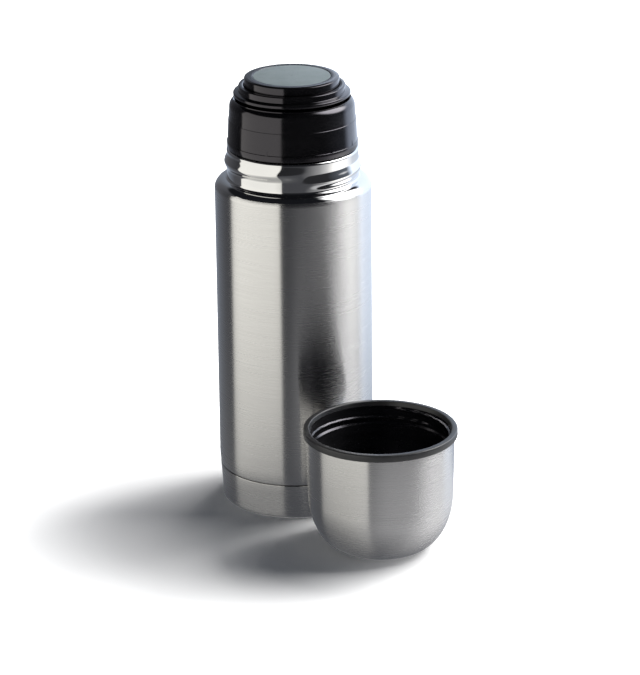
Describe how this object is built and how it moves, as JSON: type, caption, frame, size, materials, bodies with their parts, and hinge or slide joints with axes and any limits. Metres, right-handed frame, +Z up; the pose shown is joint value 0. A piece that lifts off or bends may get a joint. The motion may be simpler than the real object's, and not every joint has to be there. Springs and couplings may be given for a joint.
{
  "type": "vacuum flask",
  "caption": "Double-walled steel vacuum flask with a screwed push-button pouring stopper and a separate steel cup with a black plastic liner that screws on as the lid.",
  "frame": {"origin": "on the flask's axis, on the surface that the flask stands on", "axes": "+Z up along the flask's axis, -Y towards the front, where the cup stands a little to the right (+X)"},
  "size_m": [0.1062, 0.1313, 0.1978],
  "materials": {
    "brushed_body": "fine brushing round the axis under a clear satin sheen",
    "brushed_cup": "fine brushing round the axis",
    "polished_steel": "bright polished stainless steel",
    "seal_metal": "dull fused bead",
    "getter": "matt sintered tablet",
    "copper_foil": "bright thin foil",
    "silicone": "translucent satin silicone",
    "black_gloss": "glossy moulded plastic",
    "black_satin": "satin moulded plastic",
    "spring_steel": "bright drawn wire",
    "grey_disc": "matt grey-green plastic with a gate mark",
    "liner_black": "satin rim and glossy inside"
  },
  "bodies": {
    "flask": {"outer_shell": "brushed_body", "inner_vessel": "polished_steel", "inner_bottom": "polished_steel", "outer_bottom": "polished_steel", "base_cover": "brushed_body", "vacuum_seal": "seal_metal", "getter_tablet": "getter", "getter_clip": "polished_steel", "radiation_shield": "copper_foil"},
    "gasket": {"plug_gasket": "silicone"},
    "stopper": {"stopper_collar": "black_gloss", "stopper_plug": "black_satin", "button_housing": "black_gloss", "stem_seal": "silicone", "return_spring": "spring_steel"},
    "button": {"button_cap": "black_gloss", "button_inlay": "grey_disc", "valve_stem": "black_satin", "valve_seal": "silicone", "valve_disc": "black_satin", "stem_nut": "spring_steel"},
    "cup": {"cup_shell": "brushed_cup", "cup_liner": "liner_black"}
  },
  "joints": [
    {"name": "stopper_rise", "type": "slide", "parent": "flask", "child": "gasket", "axis": [0, 0, 1], "range_m": [0, 0.0285]},
    {"name": "stopper_turn", "type": "hinge", "parent": "gasket", "child": "stopper", "pos_m": [0, 0, 0.16], "axis": [0, 0, 1], "range_deg": [0, 840]},
    {"name": "button_press", "type": "slide", "parent": "stopper", "child": "button", "axis": [0, 0, -1], "range_m": [0, 0.0035], "stiffness_N_per_m": 900, "springref_m": -0.006, "deforming": ["return_spring"]},
    {"name": "cup_lift", "type": "slide", "parent": "flask", "child": "cup", "axis": [0, 0, 1], "range_m": [0, 0.2]}
  ],
  "couplings": [
    {"joint": "stopper_rise", "follows": "stopper_turn", "m_per_rad": 0.0019099}
  ]
}
